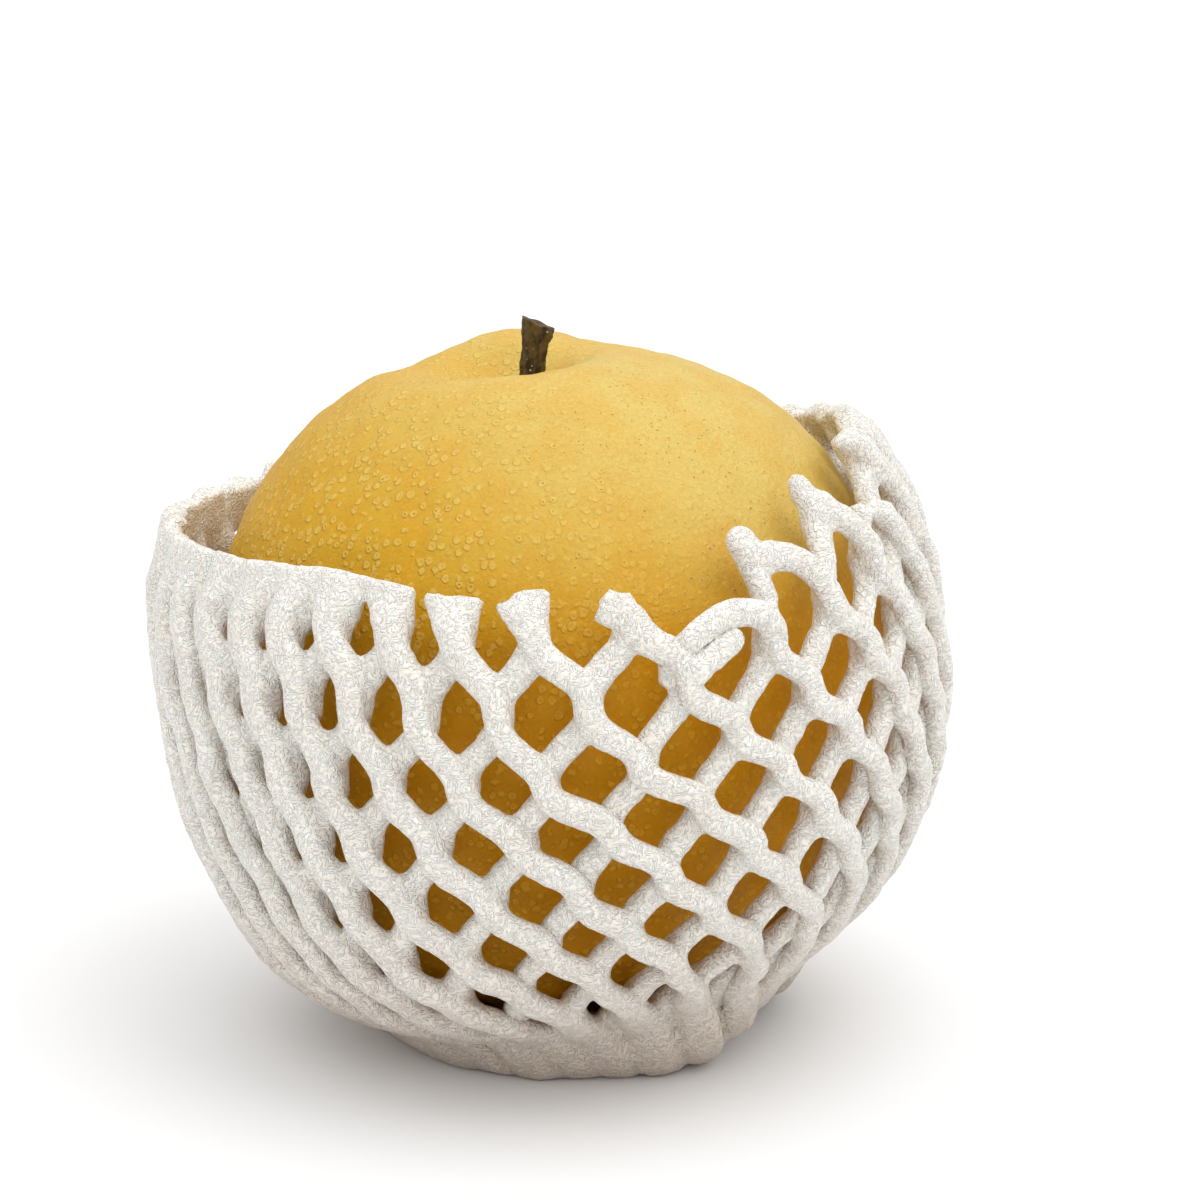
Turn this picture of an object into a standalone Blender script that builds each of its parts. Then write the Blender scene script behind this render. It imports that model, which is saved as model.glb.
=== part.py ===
"""A ripe nashi pear standing in the white foam net that it is sold in.

Three solids: the fruit, its woody stalk, and the net. The fruit is one body of revolution with soft
lobes, a stalk cavity above and an eye basin below. The net is a tube of foam strands, one family
winding right over a second family winding left, welded where they cross. It is drawn as a height
over the fruit's skin, so it follows the fruit, stands away from it at the bunched side of the rim,
and is pressed flat where it meets the surface below.

Units are metres, +Z is up, the front is -Y, and the origin is under the middle of the whole thing.
"""

import math

import bpy
import numpy as np

# fruit: size and profile
FRUIT_RADIUS = 0.0454
CROWN_HEIGHT = 0.0441
BASE_HEIGHT = 0.0460
CROWN_FULLNESS = 0.88
BASE_FULLNESS = 0.92
CAVITY_DEPTH = 0.0086
CAVITY_SPREAD = 0.0094
BASIN_DEPTH = 0.0080
BASIN_SPREAD = 0.0100
SHOULDER_RADIUS = 0.0163
SHOULDER_SPREAD = 0.0125
SHOULDER_TILT = 0.0035
SHOULDER_TILT_AZIMUTH = -52.6
SHOULDER_HILL = 0.0084
SHOULDER_HILL_AZIMUTH = 177.0
SHOULDER_HILL_WIDTH = 31.5
LOBES = ((2, 0.013, -24.4), (3, 0.006, 137.0))  # count, share of radius, azimuth
CROWN_EDGE = 0.030  # radius where the fine rings round the stalk and the eye end
EYE_EDGE = 0.0022

# how the fruit lies: its crown leans to the left
LEAN = math.radians(9.6)
FRUIT_CLEARANCE = 0.0037

# stalk
STALK_RADIUS = 0.00185
STALK_LENGTH = 0.0130
STALK_SHIFT = 0.0027
STALK_ROOT = 0.0030
STALK_BEND = (0.0030, 0.0008)  # way to the right up the stalk: straight part and curved part
STALK_FORWARD = 0.0010
STALK_STRAIGHT = 0.18  # share of the length below the bend
STALK_FLATNESS = 0.92
STALK_WAIST = 0.10
STALK_FLARE = 0.02
STALK_CUT = 0.45  # slope of the cut top
STALK_SHARES = (0.0, STALK_STRAIGHT, 0.30, 0.45, 0.65, 0.85, 1.0)
FIT_GAP = 0.0003

# foam net: strands, mesh and welds
COLUMNS = 34
ROWS = 9
STRAND_HALF_WIDTH = 0.00195
STRAND_HALF_THICKNESS = 0.00175
STRAND_STEP = 0.00255
NET_THICKNESS = 2 * STRAND_HALF_THICKNESS + STRAND_STEP
CROWDED_SHARE = 0.40  # widest half strand, as a share of its cell
WELD_RUN = 0.5
CORNER_MARGIN = 1.08
LOOSE_GAP = 0.0022
TIGHT_GAP = 0.0004
TIGHTENING = (0.022, 0.046)  # distance down the skin where the net closes on the fruit
RIM_STAND_OFF = 0.0038
RIM_FLARING = (0.004, 0.028)  # distance up the skin where the rim leaves the fruit
RIM_STAND_OFF_AZIMUTH = -105.0
RIM_STAND_OFF_WIDTH = 38.0
LANDING_REACH = 0.010
LANDING_PRESS = 0.0017
LANDING_ROWS = (ROWS - 1.6, ROWS - 0.1)
EDGE_PRESS = (0.0004, 0.0016)
LEAST_UNDERSIDE = 0.08  # smallest downward share of the normal that counts as an underside
TOP_CUT = 0.66
BOTTOM_CUT = 0.30
TIP_HALF_WIDTH = 0.33  # share of a column
LIP_ROUNDING = 0.0008

# how the columns bunch round the fruit: (count, share, azimuth of the tightest place)
FIRST_COLUMN_AZIMUTH = 0.6
BUNCHING = ((1, 0.165, -85.2), (2, 0.113, -69.3), (3, 0.040, -61.7))
TWIST_PER_ROW = -0.33

# how far down the skin from the widest ring the rows lie: (count, metres, azimuth)
MIDDLE_ROW = 2.5
MIDDLE_DROP = 0.0026
MIDDLE_WAVES = ((1, 0.0021, -134.5), (2, 0.0015, -17.4), (3, 0.0019, 16.3))
ROW_STEP = 0.0080
ROW_STEP_WAVES = ((1, 0.0006, -138.9), (2, 0.0005, 106.9))
LAST_ROW_DROP = 0.0522
LAST_ROW_WAVES = ((1, 0.0028, 80.0),)
LAST_ROW_STEP = 0.0080
LAST_ROWS_START = 4.0

FRUIT_SECTORS = 56
CROWN_RINGS = 13
BELLY_RINGS = 18
BASE_RINGS = 11
STALK_SIDES = 12


def smooth_step(low, high, x):
    t = np.clip((x - low) / (high - low), 0.0, 1.0)
    return t * t * (3 - 2 * t)


# fruit


def fruit_local(azimuth, polar):
    """Skin point in the fruit's own frame, its axis along Z. polar is 0 at the stalk, pi at the eye."""
    lobe = sum(share * np.cos(n * (azimuth - math.radians(at))) for n, share, at in LOBES)
    c = np.cos(polar)
    body = np.sin(polar)
    radius = FRUIT_RADIUS * body * (1 + lobe * body)
    upper = CROWN_HEIGHT * np.abs(c) ** CROWN_FULLNESS
    lower = -BASE_HEIGHT * np.abs(c) ** BASE_FULLNESS
    height = np.where(c > 0, upper, lower)
    hollow = CAVITY_DEPTH * np.exp(-((radius / CAVITY_SPREAD) ** 2))
    basin = BASIN_DEPTH * np.exp(-((radius / BASIN_SPREAD) ** 2))
    degrees = np.degrees(azimuth)
    hill_turn = np.mod(degrees - SHOULDER_HILL_AZIMUTH + 180, 360) - 180
    lift = SHOULDER_TILT * np.cos(np.radians(degrees - SHOULDER_TILT_AZIMUTH))
    lift = lift + SHOULDER_HILL * np.exp(-((hill_turn / SHOULDER_HILL_WIDTH) ** 2))
    lift = lift * np.exp(-(((radius - SHOULDER_RADIUS) / SHOULDER_SPREAD) ** 2)) * body
    height = height + np.where(c > 0, lift - hollow, basin)
    shift = np.where(c > 0, STALK_SHIFT * np.exp(-((radius / CAVITY_SPREAD) ** 2)), 0.0)
    return np.stack([radius * np.sin(azimuth) + shift, -radius * np.cos(azimuth), height], axis=-1)


def lean_over(local):
    """The fruit's own frame turned so that its crown leans to -X."""
    x, y, z = local[..., 0], local[..., 1], local[..., 2]
    c, s = math.cos(LEAN), math.sin(LEAN)
    return np.stack([x * c - z * s, y, x * s + z * c], axis=-1)


def resting_height():
    """Height of the fruit's centre that leaves FRUIT_CLEARANCE of pressed foam below its lowest point."""
    azimuth, polar = np.meshgrid(np.linspace(-math.pi, math.pi, 241), np.linspace(1.6, 3.14, 200))
    return FRUIT_CLEARANCE - lean_over(fruit_local(azimuth, polar))[..., 2].min()


FRUIT_CENTRE = np.array([0.0, 0.0, resting_height()])


def to_world(local):
    return lean_over(local) + FRUIT_CENTRE


def skin(azimuth, polar):
    """World point of the skin and its outward normal."""
    step = 1e-4
    point = to_world(fruit_local(azimuth, polar))
    along = to_world(fruit_local(azimuth, polar + step)) - to_world(fruit_local(azimuth, polar - step))
    around = to_world(fruit_local(azimuth + step, polar)) - to_world(fruit_local(azimuth - step, polar))
    normal = np.cross(along, around)
    return point, normal / np.linalg.norm(normal, axis=-1, keepdims=True)


# meridian: distance down the skin from the widest ring, measured on the mean profile

POLAR_TABLE = np.linspace(0.25, 3.0, 1200)


def meridian_table():
    flat = fruit_local(np.full_like(POLAR_TABLE, math.radians(90)), POLAR_TABLE)
    step = np.hypot(np.diff(flat[:, 0]), np.diff(flat[:, 2]))
    length = np.concatenate([[0.0], np.cumsum(step)])
    return length - np.interp(math.pi / 2, POLAR_TABLE, length), flat[:, 0]


MERIDIAN, MERIDIAN_RADIUS = meridian_table()


# net: where each column and row of welds lies


def waves(series, azimuth):
    """Sum of size * cos(count * (azimuth - place)) over a series."""
    return sum(size * np.cos(count * (azimuth - math.radians(place))) for count, size, place in series)


def column_table():
    """Column number against azimuth at the rim, the integral of the bunching round the fruit."""
    azimuth = np.linspace(-math.pi, math.pi, 2881)
    column = azimuth.copy()
    for count, share, place in BUNCHING:
        column += share / count * np.sin(count * (azimuth - math.radians(place)))
    column *= COLUMNS / (2 * math.pi)
    return column - np.interp(math.radians(FIRST_COLUMN_AZIMUTH), azimuth, column), azimuth


COLUMN_TABLE, AZIMUTH_TABLE = column_table()


def rim_azimuth(column):
    turns = np.floor((column - COLUMN_TABLE[0]) / COLUMNS)
    inside = column - turns * COLUMNS
    return np.interp(inside, COLUMN_TABLE, AZIMUTH_TABLE) + turns * 2 * math.pi


def lattice(column, row):
    """(azimuth, distance down the skin) of a lattice point."""
    top = rim_azimuth(column)
    azimuth = top + math.radians(TWIST_PER_ROW) * (row - 1)
    middle = MIDDLE_DROP + waves(MIDDLE_WAVES, top)
    upper = middle + (row - MIDDLE_ROW) * (ROW_STEP + waves(ROW_STEP_WAVES, top))
    lower = LAST_ROW_DROP + waves(LAST_ROW_WAVES, top) + (row - ROWS) * LAST_ROW_STEP
    return azimuth, upper + smooth_step(LAST_ROWS_START, ROWS, row) * (lower - upper)


def cell_size(column, row):
    """(width of a cell, height of one row) in metres at a lattice point."""
    step = 0.05
    azimuth, distance = lattice(column, row)
    width = (lattice(column + step, row)[0] - lattice(column - step, row)[0]) / (2 * step)
    height = (lattice(column, row + step)[1] - lattice(column, row - step)[1]) / (2 * step)
    return width * (np.interp(distance, MERIDIAN, MERIDIAN_RADIUS) + NET_THICKNESS), height


def drift(row):
    """How far a strand has moved sideways after some rows: steep in the welds, slanting between them."""
    return 0.5 * (row - WELD_RUN * np.sin(2 * math.pi * row) / (2 * math.pi))


def strand_width(column, row):
    """Half width of a strand: squeezed where the columns crowd together."""
    width, height = cell_size(column, row)
    cosine = height / np.hypot(height, width / 2)
    return np.minimum(STRAND_HALF_WIDTH, CROWDED_SHARE * width * cosine)


def stand_off(azimuth, distance):
    """How far the net's inner side is from the skin: loose at the sides and most of all at the
    bunched side of the rim, tight under the fruit."""
    turn = np.mod(np.degrees(azimuth) - RIM_STAND_OFF_AZIMUTH + 180, 360) - 180
    rim = RIM_STAND_OFF * np.exp(-((turn / RIM_STAND_OFF_WIDTH) ** 2)) * smooth_step(*RIM_FLARING, -distance)
    under = smooth_step(*TIGHTENING, distance)
    return TIGHT_GAP + (LOOSE_GAP - TIGHT_GAP) * (1 - under) + rim


def net_point(column, row, height, edge=False):
    """World point at a height over the net's inner side. The last rows come down to rest, and the
    surface below presses the net flat."""
    column, row, height = np.broadcast_arrays(
        np.asarray(column, float), np.asarray(row, float), np.asarray(height, float)
    )
    azimuth, distance = lattice(column, row)
    point, normal = skin(azimuth, np.interp(distance, MERIDIAN, POLAR_TABLE))
    room = point[..., 2] / np.maximum(-normal[..., 2], LEAST_UNDERSIDE)
    gap = stand_off(azimuth, distance)
    full = gap + NET_THICKNESS
    landing = np.clip(room - full + LANDING_PRESS, 0, LANDING_REACH) * smooth_step(*LANDING_ROWS, row)
    out = gap + landing + height
    if edge:
        pressed = smooth_step(*EDGE_PRESS, full + landing - room)
        out = out + pressed * np.maximum(room - out, 0)
    world = point + normal * out[..., None]
    below = world[..., 2] < 1e-6
    world = np.where(below[..., None], point + normal * room[..., None], world)
    world[..., 2] = np.where(below, 0.0, world[..., 2])
    return world


# mesh helpers


def add_object(name, points, faces, colour, roughness):
    mesh = bpy.data.meshes.new(name)
    mesh.from_pydata([tuple(p) for p in points], [], faces)
    mesh.validate()
    mesh.update()
    material = bpy.data.materials.new(name)
    material.use_nodes = True
    shader = material.node_tree.nodes["Principled BSDF"]
    shader.inputs["Base Color"].default_value = (*colour, 1.0)
    shader.inputs["Roughness"].default_value = roughness
    mesh.materials.append(material)
    made = bpy.data.objects.new(name, mesh)
    bpy.context.scene.collection.objects.link(made)
    mesh.shade_smooth()
    mesh.set_sharp_from_angle(angle=math.radians(50))
    return made


def ring_faces(first, second, count):
    """Quads between two rings of points, the second ring further along the outward-facing order."""
    return [
        (first + k, second + k, second + (k + 1) % count, first + (k + 1) % count) for k in range(count)
    ]


def build_fruit():
    """The fruit: rings from the stalk socket over the shoulder and the belly to the eye."""
    azimuth = np.linspace(0, 2 * math.pi, FRUIT_SECTORS, endpoint=False)
    socket = STALK_RADIUS + FIT_GAP
    mouth_polar = math.asin(socket / FRUIT_RADIUS)
    floor = fruit_local(0.0, mouth_polar)[2] - STALK_ROOT - FIT_GAP
    crown = math.asin(CROWN_EDGE / FRUIT_RADIUS)
    polar = np.concatenate(
        [
            np.arcsin(np.linspace(socket, CROWN_EDGE, CROWN_RINGS) / FRUIT_RADIUS),
            np.linspace(crown, math.pi - crown, BELLY_RINGS + 2)[1:-1],
            math.pi - np.arcsin(np.linspace(CROWN_EDGE, EYE_EDGE, BASE_RINGS) / FRUIT_RADIUS),
        ]
    )
    rings = [fruit_local(azimuth, np.full_like(azimuth, p)) for p in polar]
    sunk = rings[0].copy()
    sunk[:, 2] = floor
    rings = [sunk, *rings]
    points = [np.array([[sunk[:, 0].mean(), 0.0, floor]]), *rings]
    eye = fruit_local(0.0, math.pi - 1e-4)
    points.append(np.array([[0.0, 0.0, eye[2]]]))
    points = to_world(np.concatenate(points))
    faces = [(0, 1 + k, 1 + (k + 1) % FRUIT_SECTORS) for k in range(FRUIT_SECTORS)]
    for r in range(len(rings) - 1):
        faces += ring_faces(1 + r * FRUIT_SECTORS, 1 + (r + 1) * FRUIT_SECTORS, FRUIT_SECTORS)
    last, pole = 1 + (len(rings) - 1) * FRUIT_SECTORS, len(points) - 1
    faces += [(last + k, pole, last + (k + 1) % FRUIT_SECTORS) for k in range(FRUIT_SECTORS)]
    return add_object("fruit", points, faces, (0.80, 0.50, 0.06), 0.42)


def build_stalk():
    """The stalk: a short woody peg out of its socket, leaning right, with a slanting cut top."""
    socket = STALK_RADIUS + FIT_GAP
    mouth_polar = math.asin(socket / FRUIT_RADIUS)
    foot = STALK_SHIFT * math.exp(-((socket / CAVITY_SPREAD) ** 2))
    root = fruit_local(0.0, mouth_polar)[2] - STALK_ROOT
    angle = np.linspace(0, 2 * math.pi, STALK_SIDES, endpoint=False)
    rings = []
    for s in STALK_SHARES:
        bend = max(s - STALK_STRAIGHT, 0.0)
        right = foot + STALK_BEND[0] * bend + STALK_BEND[1] * bend**2
        centre = np.array([right, -STALK_FORWARD * bend, root + STALK_LENGTH * s])
        radius = STALK_RADIUS * (1 - STALK_WAIST * math.sin(math.pi * min(s, 0.9)) + STALK_FLARE * s)
        ring = np.stack([radius * np.cos(angle), STALK_FLATNESS * radius * np.sin(angle), 0 * angle], axis=-1)
        if s == 1.0:
            ring[:, 2] = -STALK_CUT * ring[:, 0]
        rings.append(centre + ring)
    top = rings[-1].mean(axis=0)
    points = to_world(np.concatenate([[[foot, 0.0, root]], *rings, [top]]))
    faces = [(0, 1 + (k + 1) % STALK_SIDES, 1 + k) for k in range(STALK_SIDES)]
    for r in range(len(rings) - 1):
        band = ring_faces(1 + r * STALK_SIDES, 1 + (r + 1) * STALK_SIDES, STALK_SIDES)
        faces += [face[::-1] for face in band]
    last, cap = 1 + (len(rings) - 1) * STALK_SIDES, len(points) - 1
    faces += [(last + k, last + (k + 1) % STALK_SIDES, cap) for k in range(STALK_SIDES)]
    return add_object("stalk", points, faces, (0.035, 0.028, 0.012), 0.75)


def weld_reach(column, row):
    """How far a weld reaches along the row and along the column before the next hole starts."""
    width, height = cell_size(column, row)
    half = strand_width(column, row)
    steep = np.hypot(height, width * 0.5 * (1 - WELD_RUN)) / height
    sideways = np.minimum(CORNER_MARGIN * half * steep / width, 0.42)
    table = np.linspace(0.0, 1.0, 201)
    slant = np.hypot(height[..., None], width[..., None] * 0.5) / height[..., None]
    needed = CORNER_MARGIN * half[..., None] * slant / width[..., None]
    clear = drift(table) >= needed
    lengthwise = np.where(clear.any(axis=-1), table[np.argmax(clear, axis=-1)], 0.85)
    return sideways, np.clip(lengthwise, 0.2, 0.86)


def build_net():
    """The net as one closed skin: a peak and an inner point at each weld, four hole corners round it,
    and a ridge, an inner line and two hole edges at the middle of each strand."""
    points, index = [], {}

    def put(key, column, row, height, edge=False):
        index[key] = len(points)
        points.append(net_point(column, row, height, edge))

    middle = STRAND_HALF_THICKNESS + STRAND_STEP / 2
    low = STRAND_HALF_THICKNESS
    high = STRAND_HALF_THICKNESS + STRAND_STEP
    for j in range(ROWS + 1):
        for i in range(COLUMNS):
            u = i + 0.5 * (j % 2)
            side, up = (float(x) for x in weld_reach(np.array(u), np.array(float(j))))
            put(("peak", i, j), u, j, NET_THICKNESS)
            put(("seat", i, j), u, j, 0.0)
            put(("west", i, j), u - side, j, middle, True)
            put(("east", i, j), u + side, j, middle, True)
            if j > 0:
                put(("north", i, j), u, j - up, middle, True)
            if j < ROWS:
                put(("south", i, j), u, j + up, middle, True)
    strands = []
    for j in range(ROWS):
        for i in range(COLUMNS):
            u = i + 0.5 * (j % 2)
            for family, turn, level in (("over", 1, high), ("under", -1, low)):
                middle_u, middle_v = u + turn * 0.25, j + 0.5
                width, height = cell_size(middle_u, middle_v)
                half = float(strand_width(middle_u, middle_v))
                across, down = width * 0.5 * (1 + WELD_RUN), height
                length = math.hypot(across, down)
                du = half * down / length / width
                dv = -turn * half * across / length / height
                put((family, "ridge", i, j), middle_u, middle_v, level + STRAND_HALF_THICKNESS)
                put((family, "keel", i, j), middle_u, middle_v, level - STRAND_HALF_THICKNESS)
                put((family, "right", i, j), middle_u + du, middle_v + dv, level, True)
                put((family, "left", i, j), middle_u - du, middle_v - dv, level, True)
                strands.append((family, turn, i, j))
    faces = []

    def neighbour(i, j, turn):
        """Index of the weld one row down that a strand reaches."""
        if j % 2 == 0:
            return (i if turn > 0 else i - 1) % COLUMNS
        return (i + 1 if turn > 0 else i) % COLUMNS

    for family, turn, i, j in strands:
        k = neighbour(i, j, turn)
        top = {name: index[(name, i, j)] for name in ("peak", "seat", "west", "east", "south")}
        end = {name: index[(name, k, j + 1)] for name in ("peak", "seat", "west", "east", "north")}
        ridge, keel = index[(family, "ridge", i, j)], index[(family, "keel", i, j)]
        right, left = index[(family, "right", i, j)], index[(family, "left", i, j)]
        if turn > 0:
            right_top, right_end, left_top, left_end = top["east"], end["north"], top["south"], end["west"]
        else:
            right_top, right_end, left_top, left_end = top["south"], end["east"], top["west"], end["north"]
        sides = (
            (top["peak"], top["seat"], right_top, right, 1),
            (end["peak"], end["seat"], right_end, right, -1),
            (top["peak"], top["seat"], left_top, left, -1),
            (end["peak"], end["seat"], left_end, left, 1),
        )
        for peak, seat, corner, edge, way in sides:
            if turn > 0:
                made = [(peak, ridge, edge), (peak, edge, corner)]
                made += [(seat, corner, keel), (corner, edge, keel)]
            else:
                made = [(peak, ridge, corner), (ridge, edge, corner)]
                made += [(seat, edge, keel), (seat, corner, edge)]
            faces += made if way > 0 else [face[::-1] for face in made]
    for i in range(COLUMNS):
        for j, way, cut in ((0, -1, TOP_CUT), (ROWS, 1, BOTTOM_CUT)):
            u = i + 0.5 * (j % 2)
            row = j + way * cut
            put(("corner_west", i, j), u - TIP_HALF_WIDTH, row, middle, True)
            put(("corner_east", i, j), u + TIP_HALF_WIDTH, row, middle, True)
            put(("lip", i, j), u, row, NET_THICKNESS - LIP_ROUNDING)
            put(("lip_seat", i, j), u, row, LIP_ROUNDING)
            around = ("west", "corner_west", "lip", "corner_east", "east")
            ring = [index[(name, i, j)] for name in around]
            inner = [*ring[:2], index[("lip_seat", i, j)], *ring[3:]]
            peak, seat = index[("peak", i, j)], index[("seat", i, j)]
            made = [(peak, ring[k + 1], ring[k]) for k in range(4)]
            made += [(seat, inner[k], inner[k + 1]) for k in range(4)]
            made += [(ring[1], ring[2], inner[2]), (ring[2], ring[3], inner[2])]
            faces += made if way < 0 else [face[::-1] for face in made]
    return add_object("foam_net", np.array(points), faces, (0.90, 0.89, 0.87), 0.5)


def centre_over_origin(objects):
    """Slide everything sideways so that the middle of the whole thing is over the origin."""
    corners = np.array([v.co[:2] for made in objects for v in made.data.vertices])
    slide = -(corners.min(axis=0) + corners.max(axis=0)) / 2
    for made in objects:
        for vertex in made.data.vertices:
            vertex.co.x += slide[0]
            vertex.co.y += slide[1]


def main():
    for old in list(bpy.data.objects):
        bpy.data.objects.remove(old)
    centre_over_origin([build_fruit(), build_stalk(), build_net()])


main()
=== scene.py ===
import math

import bpy
import numpy as np
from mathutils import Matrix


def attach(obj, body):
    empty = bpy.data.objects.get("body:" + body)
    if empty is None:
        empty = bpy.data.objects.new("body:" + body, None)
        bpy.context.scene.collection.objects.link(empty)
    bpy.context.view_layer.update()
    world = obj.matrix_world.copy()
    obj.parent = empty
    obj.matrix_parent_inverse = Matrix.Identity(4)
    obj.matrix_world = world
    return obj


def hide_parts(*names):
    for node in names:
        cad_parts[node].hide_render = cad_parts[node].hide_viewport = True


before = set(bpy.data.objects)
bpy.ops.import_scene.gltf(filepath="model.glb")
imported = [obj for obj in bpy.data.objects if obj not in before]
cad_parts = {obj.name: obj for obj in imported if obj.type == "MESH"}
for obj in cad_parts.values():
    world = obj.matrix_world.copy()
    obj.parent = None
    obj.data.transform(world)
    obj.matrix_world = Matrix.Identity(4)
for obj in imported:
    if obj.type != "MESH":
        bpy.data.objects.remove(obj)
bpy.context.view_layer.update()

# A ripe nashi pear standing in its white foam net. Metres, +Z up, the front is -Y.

print("frame loaded")

slide = np.array([0.00077, 0.00016, 0.0])  # from the fruit's own axis to the middle of the whole thing

# lengths in metres, places and turns in degrees; lobes are count, share and place, and socketSteps are
# depth and width
fruit = dict(
    radius=0.0454, crownHeight=0.0441, baseHeight=0.0460, crownFullness=0.88, baseFullness=0.92,
    cavityDepth=0.0086, cavitySpread=0.0094, basinDepth=0.0080, basinSpread=0.0100,
    shoulderRadius=0.0163, shoulderSpread=0.0125, shoulderTilt=0.0035, shoulderTiltAt=-52.6,
    hill=0.0084, hillAt=177.0, hillWidth=31.5, lobes=((2, 0.013, -24.4), (3, 0.006, 137.0)),
    lean=9.6, clearance=0.0037, stalkShift=0.0027,
    socket=0.00215, socketSteps=((0.0004, 0.97), (0.0012, 0.93), (0.0022, 0.90), (0.0033, 0.88)),
    unevenness=0.000045, unevenLengths=(0.021, 0.015, 0.011, 0.0083, 0.0064, 0.0049, 0.0037),
    evenUpTo=0.0022, unevenFrom=0.006,
    cork=0.00045, corkAt=0.0042, corkWidth=0.0010, eyePit=0.0010, eyePitWidth=0.0020,
    star=0.00040, starPoints=5, starAt=0.0022, starWidth=0.0010,
    sectors=288, crownRings=46, bellyRings=92, baseRings=46, poleReach=0.030, lastRing=0.0004,
)


def smoothStep(low, high, x):
    # 0 below low, 1 above high, and the S-shaped cubic t * t * (3 - 2 * t) between
    t = np.clip((x - low) / (high - low), 0.0, 1.0)
    return t * t * (3 - 2 * t)


def bell(x, width):
    # the bell curve exp(-(x / width) squared)
    return np.exp(-((x / width) ** 2))


def fruitLocal(azimuth, polar):
    # skin in the fruit's own frame: radius = R sin(polar), swollen a little by the lobes, and
    # height = H |cos(polar)| ** fullness, lifted by the shoulder, sunk by the cavity and the basin
    lobe = sum(share * np.cos(n * (azimuth - math.radians(at))) for n, share, at in fruit["lobes"])
    c, body = np.cos(polar), np.sin(polar)
    radius = fruit["radius"] * body * (1 + lobe * body)
    upper = fruit["crownHeight"] * np.abs(c) ** fruit["crownFullness"]
    lower = -fruit["baseHeight"] * np.abs(c) ** fruit["baseFullness"]
    hollow = fruit["cavityDepth"] * bell(radius, fruit["cavitySpread"])
    basin = fruit["basinDepth"] * bell(radius, fruit["basinSpread"])
    degrees = np.degrees(azimuth)
    hillTurn = np.mod(degrees - fruit["hillAt"] + 180, 360) - 180
    lift = fruit["shoulderTilt"] * np.cos(np.radians(degrees - fruit["shoulderTiltAt"]))
    lift = (lift + fruit["hill"] * bell(hillTurn, fruit["hillWidth"])) * body
    lift = lift * bell(radius - fruit["shoulderRadius"], fruit["shoulderSpread"])
    height = np.where(c > 0, upper + lift - hollow, lower + basin)
    shift = np.where(c > 0, fruit["stalkShift"] * bell(radius, fruit["cavitySpread"]), 0.0)
    return np.stack([radius * np.sin(azimuth) + shift, -radius * np.cos(azimuth), height], axis=-1)


def leanOver(local):
    # a turn about Y that leans the crown to -X
    c, s = math.cos(math.radians(fruit["lean"])), math.sin(math.radians(fruit["lean"]))
    x, y, z = local[..., 0], local[..., 1], local[..., 2]
    return np.stack([x * c - z * s, y, x * s + z * c], axis=-1)


underside = np.meshgrid(np.linspace(-math.pi, math.pi, 241), np.linspace(1.6, 3.14, 200))
lowest = leanOver(fruitLocal(*underside))[..., 2].min()
fruitCentre = np.array([0.0, 0.0, fruit["clearance"] - lowest]) + slide


def toWorld(local):
    return leanOver(local) + fruitCentre


def skin(azimuth, polar):
    # point of the skin, and the cross product of its two tangents as the outward normal
    step = 1e-4
    point = toWorld(fruitLocal(azimuth, polar))
    along = toWorld(fruitLocal(azimuth, polar + step)) - toWorld(fruitLocal(azimuth, polar - step))
    around = toWorld(fruitLocal(azimuth + step, polar)) - toWorld(fruitLocal(azimuth - step, polar))
    normal = np.cross(along, around)
    return point, normal / np.maximum(np.linalg.norm(normal, axis=-1, keepdims=True), 1e-12)


def ripple(points, lengths, seed):
    # sum of one plane wave for each wavelength, each in its own fixed direction and phase
    rng = np.random.default_rng(seed)
    ways = rng.normal(size=(len(lengths), 3))
    ways = ways / np.linalg.norm(ways, axis=1, keepdims=True)
    phases = rng.uniform(0, 2 * math.pi, len(lengths))
    each = zip(ways, lengths, phases)
    return sum(np.sin(points @ way * (2 * math.pi / length) + phase) for way, length, phase in each)


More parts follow.
